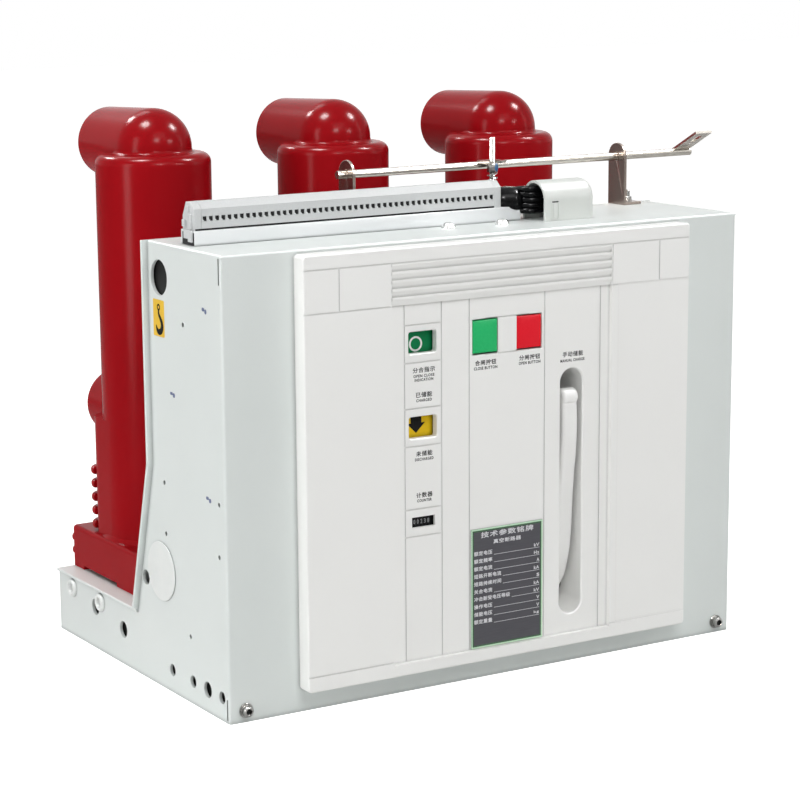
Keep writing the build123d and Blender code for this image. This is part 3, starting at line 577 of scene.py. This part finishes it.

# Indicator flags: painted steel plates behind the windows. The state flag is green with a ring for
# open and red with a bar for closed; the spring flag is yellow with an arrow down or up.
# Flag paint: flat sprayed enamel, faintly mottled, with painted shade near the window's frame
flag_paints = {}
for enamel, *tones in (("green_flag_enamel", "067745", "0A8550"),
                       ("yellow_flag_enamel", "E6BE12", "EEC926"),
                       ("red_flag_enamel", "B3181E", "C4222A"),
                       ("white_flag_enamel", "E9EBE9", "F3F4F2"),
                       ("grey_figure_enamel", "8C8E90", "A6A8A9")):
    flag_paints[enamel] = surface(enamel, tones, (350.0, 3.0), (0.35, 0.5), specular=0.1)
    shade_creases(flag_paints[enamel], 0.005, 0.3)
dress(flag_paints["green_flag_enamel"], "state_flag")
dress(flag_paints["yellow_flag_enamel"], "spring_flag")
flag_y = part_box("state_flag")[0].y
mark_x = -90.0
ring_level, bar_level, bar_half, bar_reach = 337.3, 364.0, 1.4, 7.0
closed_half, closed_low, closed_inset = 18.7, 352.2, 0.3
ring_profile = ((5.4, 0), (7.3, 0), (7.3, film), (5.4, film), (5.4, 0))
arrow_tip, arrow_neck, arrow_top = 252.3, 261.8, 268.6
arrow_half, arrow_stem = 10.0, 6.0
up_arrow_rise = 24.0


def front_patch(outline, face_y, thickness):
    """A thin flat shape on a face that looks forward, from its corners (x, z) in mm."""
    shape = bmesh.new()
    shape.faces.new([shape.verts.new((x * millimetre, face_y, z * millimetre)) for x, z in outline])
    draw_out(shape, (0, -thickness * millimetre, 0))
    return shape


def rectangle(x0, x1, z0, z1):
    """The corners of an upright rectangle."""
    return ((x0, z0), (x1, z0), (x1, z1), (x0, z1))


state_low, state_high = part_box("state_flag")
flag_x = (state_low.x + state_high.x) / 2 / millimetre
flag_top = state_high.z / millimetre
closed_field = rectangle(flag_x - closed_half, flag_x + closed_half, closed_low, flag_top - closed_inset)
make_piece("closed_field", front_patch(closed_field, flag_y, film), [flag_paints["red_flag_enamel"]],
           "state_flag")
closed_bar = rectangle(mark_x - bar_half, mark_x + bar_half, bar_level - bar_reach, bar_level + bar_reach)
state_marks = [spun(ring_profile, (mark_x * millimetre, flag_y, ring_level * millimetre), forward),
               front_patch(closed_bar, flag_y, 2 * film)]
make_piece("state_marks", joined(state_marks), [flag_paints["white_flag_enamel"]],
           "state_flag")
arrow = ((mark_x, arrow_tip), (mark_x + arrow_half, arrow_neck), (mark_x + arrow_stem, arrow_neck),
         (mark_x + arrow_stem, arrow_top), (mark_x - arrow_stem, arrow_top),
         (mark_x - arrow_stem, arrow_neck), (mark_x - arrow_half, arrow_neck))
up_arrow = tuple((x, arrow_tip + arrow_top + up_arrow_rise - z) for x, z in arrow)
spring_marks = [front_patch(arrow, flag_y, film), front_patch(up_arrow, flag_y, film)]
make_piece("spring_marks", joined(spring_marks), [black_ink], "spring_flag")

# Operation counter: a black moulded case fixed behind its window, with five figure wheels in a row
# that count the operations.
# Black ABS: deep grey-black, half glossy, with a fine moulded grain; also used as painted shade in ways and
# slots
black_plastic = surface("black_abs_and_painted_shade", ("0A0A0B", "151517"), (900.0, 2.0), (0.34, 0.5), (0.08, 0.0002),
                        specular=0.2)
dress(black_plastic, "counter")
counter_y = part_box("counter")[0].y / millimetre
wheel_places = (-95.6, -91.7, -87.8, -83.9, -80.0)
wheel_level, wheel_half, wheel_rise, wheel_round = 167.6, 1.75, 4.2, 0.4
wheel_proud, wheel_sunk = 0.9, 0.5
figure_width, figure_height = 1.9, 4.2
figures = [lettering(figure, x, wheel_level, figure_width, figure_height,
                     (counter_y - wheel_proud) * millimetre)
           for figure, x in zip("00238", wheel_places)]
make_piece("counter_figures", joined(figures), [flag_paints["grey_figure_enamel"]])
wheels = [slab((x - wheel_half, counter_y - wheel_proud, wheel_level - wheel_rise),
               (x + wheel_half, counter_y + wheel_sunk, wheel_level + wheel_rise), wheel_round)
          for x in wheel_places]
make_piece("counter_wheels", joined(wheels), [black_plastic])

# Push buttons: square caps in through-coloured ABS with a slightly pillowed face, green to close and
# red to open. Each face rides on its button and is pushed in with it.
# Coloured ABS: even and bright, half glossy, with a fine moulded grain
pillow, pillow_sink, pillow_inset = 1.1, 0.2, 1.2
button_finishes = (("green_moulded_abs", "close_button", "green_plastic", "26B469", "31C174"),
                   ("red_moulded_abs", "open_button", "red_plastic", "E41729", "ED2232"))
for plastic, node, slot, *tones in button_finishes:
    button_plastic = surface(plastic, tones, (500.0, 3.0), (0.3, 0.42), (0.05, 0.0002), specular=0.1)
    dress(button_plastic, node)
    low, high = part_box(node)
    face = bmesh.new()
    bmesh.ops.create_grid(face, x_segments=16, y_segments=16, size=1.0)
    for vert in face.verts:
        u, v = vert.co.x, vert.co.y
        bulge = pillow * (1 - u ** 4) * (1 - v ** 4) - pillow_sink
        vert.co = ((low.x + high.x) / 2 + u * (high.x - low.x - pillow_inset * millimetre) / 2,
                   low.y - bulge * millimetre,
                   (low.z + high.z) / 2 + v * (high.z - low.z - pillow_inset * millimetre) / 2)
    bmesh.ops.recalc_face_normals(face, faces=face.faces[:])
    make_piece(f"{node}_face", face, [button_plastic], node, sharp=80)

# Rating plate: a dark anodised sheet stuck to the recessed field, edged in two greens, printed with
# ruled rows for the ratings. The rows carry the plain names and units, with no figures.
# Anodised aluminium: dark slate grey, satin, with a faint rolled grain along the plate
plate_metal = surface("dark_anodised_aluminium", ("46454B", "535258"), (1.0, 3.0), (0.38, 0.5),
                      stretch=(60.0, 60.0, 900.0), specular=0.3)
dress(plate_metal, "rating_plate")
plate_inks = {}
for ink, *tones in (("pale_green_plate_ink", "B9DDBC", "C6E6C8"),
                    ("dark_green_plate_ink", "285231", "33603B"),
                    ("pale_grey_plate_ink", "C9C9CD", "DCDCDF")):
    plate_inks[ink] = surface(ink, tones, (500.0, 2.0), 0.5)
plate_low, plate_high = (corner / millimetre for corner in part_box("rating_plate"))
plate_y = plate_low.y * millimetre
edge_band = 1.5


def plate_edging(inset):
    """A flat frame on the plate, one band wide, drawn in from the plate's edge."""
    left, right = plate_low.x + inset, plate_high.x - inset
    low, high = plate_low.z + inset, plate_high.z - inset
    bands = (rectangle(left, right, low, low + edge_band), rectangle(left, right, high - edge_band, high),
             rectangle(left, left + edge_band, low + edge_band, high - edge_band),
             rectangle(right - edge_band, right, low + edge_band, high - edge_band))
    return joined([front_patch(band, plate_y, ink_film) for band in bands])


make_piece("plate_outer_edging", plate_edging(0), [plate_inks["pale_green_plate_ink"]])
make_piece("plate_inner_edging", plate_edging(edge_band), [plate_inks["dark_green_plate_ink"]])
plate_titles = (("技术参数铭牌", 6.6, 61.0, 5.6), ("真空断路器", 14.6, 32.0, 4.2))
plate_rows = (("额定电压", "kV"), ("额定频率", "Hz"), ("额定电流", "A"), ("短路开断电流", "kA"),
              ("短路持续时间", "s"), ("关合电流", "kA"), ("冲击耐受电压等级", "kV"), ("操作电压", "V"),
              ("储能电压", "V"), ("额定重量", "kg"))
plate_middle = (plate_low.x + plate_high.x) / 2
row_start, row_pitch, row_drop = 24.4, 7.55, 2.9
label_inset, label_height, letter_pitch = 3.4, 4.2, 5.2
unit_back, unit_width, unit_height, unit_drop = 1.7, 3.0, 3.2, 0.2
rule_gap, rule_end, rule_half = 2.2, 79.7, 0.2
print_shapes = [lettering(words, plate_middle, plate_high.z - drop, width, height, plate_y)
                for words, drop, width, height in plate_titles]
for number, (label, unit) in enumerate(plate_rows):
    level = plate_high.z - row_start - number * row_pitch
    label_x, label_width = plate_low.x + label_inset, letter_pitch * len(label)
    unit_x = plate_low.x + rule_end - unit_back * len(unit)
    rule = rectangle(label_x + label_width + rule_gap, plate_low.x + rule_end,
                     level - row_drop - rule_half, level - row_drop + rule_half)
    print_shapes += [
        lettering(label, label_x + label_width / 2, level, label_width, label_height, plate_y),
        lettering(unit, unit_x, level - unit_drop, unit_width * len(unit), unit_height, plate_y),
        front_patch(rule, plate_y, ink_film)]
make_piece("plate_print", joined(print_shapes), [plate_inks["pale_grey_plate_ink"]])

# Lever pin: a plated steel pin with two collars, on which the charging lever swings. It is turned,
# and held in the walls of the lever's pocket.
dress(zinc_plate, "lever_pin")

# Terminal rail: a folded steel channel, turned over on the top plate and painted white. It carries
# the terminal strip.
# Stoving enamel: smooth white, half glossy, with painted shade in its folds
rail_paint = surface("white_stoving_enamel", ("E1E4E5", "E9EBEC"), (30.0, 3.0), (0.3, 0.42))
shade_creases(rail_paint, 0.003, 0.4)
fold_round = 0.6
rail_piece = make_piece("folded_rail", softened("terminal_rail", fold_round), [rail_paint])
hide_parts("terminal_rail")

# Terminal strip: fifty grey polyamide blocks clamped side by side on the rail, with painted shadow under
# their front. Each wire way is filled with black as painted shade, with a light clamp wedge in its
# corner; the end stops have moulded lugs.
# Polyamide: light grey, dry and matt, with a fine speckle
strip_plastic = surface("grey_polyamide", ("C4C6C7", "D2D4D4"), (650.0, 3.0), (0.48, 0.62), (0.1, 0.0003),
                        specular=0.2)
dress(strip_plastic, "terminal_strip")
strip_low, strip_high = (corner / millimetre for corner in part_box("terminal_strip"))
way_count, way_half, way_low, way_high = 50, 2.0, 457.6, 461.8
way_front, way_back = 1.0, 7.5
wedge_inset, wedge_rise, wedge_front, wedge_depth = 0.4, 1.7, 0.9, 0.7
way_pitch = (strip_high.x - strip_low.x) / way_count
liners, wedges = [], []
for number in range(way_count):
    x = strip_low.x + way_pitch * (number + 0.5)
    liners.append(slab((x - way_half, strip_low.y + way_front, way_low),
                       (x + way_half, strip_low.y + way_back, way_high)))
    wedge = ((x - way_half, way_low), (x - wedge_inset, way_low), (x - way_half, way_low + wedge_rise))
    wedges.append(front_patch(wedge, (strip_low.y + wedge_front) * millimetre, wedge_depth))
# painted shade: a black block deep in each wire way
make_piece("way_painted_shade", joined(liners), [black_plastic])
rail_low, rail_high = (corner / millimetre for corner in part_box("terminal_rail"))
# painted shadow: a black strip under the blocks' front, and a black block in the rail's open end
seat_start, seat_proud, seat_sunk, seat_low, seat_high = 1.0, 0.06, 0.3, 0.05, 1.8
seat_gap = slab((rail_low.x + seat_start, strip_low.y - seat_proud, rail_high.z + seat_low),
                (strip_high.x, strip_low.y + seat_sunk, rail_high.z + seat_high))
rail_wall, rail_plug_start, rail_plug_end, rail_plug_lift = 2.1, 0.6, 9.0, 0.1
rail_plug = slab((rail_low.x + rail_plug_start, rail_low.y + rail_wall, rail_low.z + rail_plug_lift),
                 (rail_low.x + rail_plug_end, rail_high.y - rail_wall, rail_high.z - rail_wall))
make_piece("strip_painted_shade", joined([seat_gap, rail_plug]), [black_plastic])
make_piece("clamp_wedges", joined(wedges), [plug_plastic])
stop_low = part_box("strip_end_stops")[0] / millimetre
lug_boxes = (((-2.4, 3.0, 1.5), (0, 7.5, 15.0)), ((-2.4, 15.0, 3.0), (0, 20.5, 9.5)),
             ((-1.4, 8.5, 16.5), (0, 14.5, 22.5)), ((-2.2, 2.5, -10.5), (0, 9.5, 0.4)),
             ((-1.2, 9.0, -8.0), (0, 20.0, 0.4)))
stop_round, lug_round = 0.6, 0.5
stop_shapes = [softened("strip_end_stops", stop_round)]
stop_shapes += [slab(stop_low + Vector(low), stop_low + Vector(high), lug_round, segments=2)
                for low, high in lug_boxes]
stop_piece = make_piece("end_stops", joined(stop_shapes), [strip_plastic])
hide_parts("strip_end_stops")

# Cable hood: a pale grey moulded arch over the lead's way into the housing, held down by a snap
# latch in its front.
# Moulded ABS in pale grey: smooth, half matt
hood_plastic = surface("pale_grey_moulded_abs", ("D2D5D1", "DBDEDA"), (40.0, 3.0), (0.4, 0.52), specular=0.3)
dress(hood_plastic, "cable_hood")
hood_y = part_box("cable_hood")[0].y / millimetre
latch_bars = ((100.6, 101.6, 436.0, 453.4), (108.6, 109.6, 436.0, 453.4), (100.6, 109.6, 436.0, 437.0),
              (102.4, 107.8, 438.0, 452.2))
latch_half, latch_round = 0.5, 0.3
slot_left, slot_right, slot_low, slot_high = 101.2, 109.0, 453.0, 454.2
slot_proud, slot_sunk = 0.1, 0.4
latch_shapes = [slab((x0, hood_y - latch_half, z0), (x1, hood_y + latch_half, z1), latch_round, segments=2)
                for x0, x1, z0, z1 in latch_bars]
# painted shade: a black slab in the latch's slot, where the opening is in shade
latch_slot = slab((slot_left, hood_y - slot_proud, slot_low), (slot_right, hood_y + slot_sunk, slot_high))
make_piece("hood_latch", joined(latch_shapes), [hood_plastic])
make_piece("latch_slot", latch_slot, [black_plastic])

# Leads: black PVC-jacketed wires, taped into a boot at the end of the strip, that fold forward in
# stacked turns and run on into the hood.
# PVC: black, soft gloss, faint extrusion streaks
lead_jacket = surface("black_pvc_jacket", ("060607", "0D0D0F"), (260.0, 3.0), (0.16, 0.28), (0.15, 0.0004),
                      specular=0.1)
lead_rises = (-11.0, -5.6, 0.0, 5.6, 11.0)
lead_centre, lead_radius = 455.0, 3.1
# The leads' route: x, y, and the shares of a lead's rise that it is set forward and up by
lead_route = ((70, -105, 0, 0.5), (80, -107, 0, 0.9), (86, -118, 0.3, 1.0), (95, -124, 0, 1.0),
              (112, -123.5, 0, 0.8), (144, -123.5, 0, 0.7))
boot_route = ((59.2, -103.5, 455), (63, -103.5, 455), (70, -104, 454.5), (78, -106.5, 454),
              (84, -110, 453.5), (87, -113, 453.5))
boot_radius, boot_shares = 13.5, (0.72, 0.92, 1.02, 1.04, 0.95, 0.7)
strands = [strand([(x, y - ahead * abs(rise), lead_centre + up * rise) for x, y, ahead, up in lead_route],
                  lead_radius) for rise in lead_rises]
boot = strand(boot_route, boot_radius, boot_shares)
lead_piece = make_piece("lead_bundle", joined(strands + [boot]), [lead_jacket], sharp=60)
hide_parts("cable_bundle")

# Interlock shaft: satin steel bar with a slotted tab and a fork, carried in two angle brackets that
# are screwed to the top plate. The steel is drawn and pickled, so it keeps a long soft sheen.
# Drawn steel: warm grey with fine lines along its length; pickled sheet: browner and smoother
steels = {}
for steel, rough, *tones in (("drawn_steel", (0.16, 0.28), "A9A39A", "CBC7C0"),
                             ("pickled_steel", (0.17, 0.27), "857A73", "9F948C")):
    steels[steel] = surface(steel, tones, (1.0, 3.0), rough, stretch=(40.0, 900.0, 900.0), metallic=1.0)
dress(steels["drawn_steel"], "interlock_shaft")
bracket_round, bracket_sheet, bolt_inset = 0.5, 3.0, 14.5
bracket_washer_profile = ((2.6, 0), (5.2, 0), (5.2, 0.9), (2.6, 0.9))
bracket_stud_profile = ((0, 4.4), (2.6, 4.4), (2.6, 10.8), (2.1, 11.4), (0, 11.4))
bracket_nut_flats, bracket_nut_low, bracket_nut_high, bracket_nut_edge = 8.0, 0.9, 4.4, 0.3
bracket_bolts = []
for side in ("left", "right"):
    bracket = make_piece(f"bent_bracket_{side}", softened(f"shaft_bracket_{side}", bracket_round),
                         [steels["pickled_steel"]], sharp=25)
    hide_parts(f"shaft_bracket_{side}")
    low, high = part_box(f"shaft_bracket_{side}")
    seat = Vector((low.x + bolt_inset * millimetre, (low.y + high.y) / 2, top_z + bracket_sheet * millimetre))
    bracket_bolts += [
        spun(bracket_washer_profile, seat, upright),
        hexagon(bracket_nut_flats, bracket_nut_low, bracket_nut_high, seat, upright, bracket_nut_edge),
        spun(bracket_stud_profile, seat, upright, steps=20)]
make_piece("bracket_bolts", joined(bracket_bolts), [zinc_plate])

# Trip rod: a threaded steel rod with a nut under the fork, locked with a dab of blue compound, and
# a coil spring round it that stands on the top plate and pushes the nut up.
rod_low, rod_high = (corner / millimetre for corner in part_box("trip_rod"))
rod_x, rod_y = (rod_low.x + rod_high.x) / 2, (rod_low.y + rod_high.y) / 2
nut_flats, nut_low, nut_high = 9.4, 478.7, 487.7
crest, root, pitch = 2.95, 2.55, 1.0
lock_dab_half, lock_dab_place = Vector((2.5, 1.1, 4.4)), Vector((rod_x + 1.6, rod_y - 4.6, 483.6))
spring_radius, spring_wire, spring_turns = 4.7, 0.55, 9
turn_steps = 24
rod_seat = Vector((rod_x, rod_y, 0)) * millimetre


def screw_thread(low, high):
    """A threaded rod: a toothed edge turned once while it climbs by one pitch."""
    shape = bmesh.new()
    count = int((high - low) / pitch) - 1
    points = []
    for number in range(count):
        base = low + number * pitch
        points += [(root, base), (crest, base + pitch / 2)]
    points.append((root, low + count * pitch))
    chain = [shape.verts.new(((rod_x + radius) * millimetre, rod_y * millimetre, z * millimetre))
             for radius, z in points]
    for start, end in zip(chain, chain[1:]):
        shape.edges.new((start, end))
    bmesh.ops.spin(shape, geom=shape.verts[:] + shape.edges[:], cent=rod_seat, axis=upright,
                   dvec=(0, 0, pitch * millimetre / turn_steps), angle=2 * math.pi, steps=turn_steps)
    bmesh.ops.remove_doubles(shape, verts=shape.verts[:], dist=1e-5)
    bmesh.ops.holes_fill(shape, edges=[edge for edge in shape.edges if edge.is_boundary], sides=0)
    bmesh.ops.recalc_face_normals(shape, faces=shape.faces[:])
    return shape


rod_shapes = [screw_thread(rod_low.z, rod_high.z), hexagon(nut_flats, nut_low, nut_high, rod_seat, upright)]
rod_piece = make_piece("threaded_trip_rod", joined(rod_shapes), [zinc_plate], "trip_rod")
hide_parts("trip_rod")
# Thread-locking compound: blue, rubbery, a little glossy
lock_compound = surface("blue_locking_compound", ("12507F", "1F6CA3"), (500.0, 2.0), 0.35)
dab = bmesh.new()
bmesh.ops.create_icosphere(dab, subdivisions=3, radius=1.0)
bmesh.ops.scale(dab, vec=lock_dab_half * millimetre, verts=dab.verts[:])
bmesh.ops.translate(dab, vec=lock_dab_place * millimetre, verts=dab.verts[:])
make_piece("lock_dab", dab, [lock_compound], "trip_rod")
coil = bmesh.new()
bmesh.ops.create_circle(coil, segments=8, radius=spring_wire * millimetre)
bmesh.ops.rotate(coil, cent=(0, 0, 0), matrix=Matrix.Rotation(math.pi / 2, 3, "X"), verts=coil.verts[:])
bmesh.ops.translate(coil, vec=((rod_x + spring_radius) * millimetre, rod_y * millimetre,
                               top_z + spring_wire * millimetre), verts=coil.verts[:])
spring_climb = nut_low * millimetre - top_z - 2 * spring_wire * millimetre
bmesh.ops.spin(coil, geom=coil.verts[:] + coil.edges[:], cent=rod_seat, axis=upright,
               dvec=(0, 0, spring_climb / (spring_turns * turn_steps)), angle=2 * math.pi * spring_turns,
               steps=spring_turns * turn_steps)
bmesh.ops.remove_doubles(coil, verts=coil.verts[:], dist=1e-6)
bmesh.ops.holes_fill(coil, edges=[edge for edge in coil.edges if edge.is_boundary], sides=0)
bmesh.ops.recalc_face_normals(coil, faces=coil.faces[:])
spring_piece = make_piece("return_spring", coil, [zinc_plate], sharp=60)
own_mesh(spring_piece)
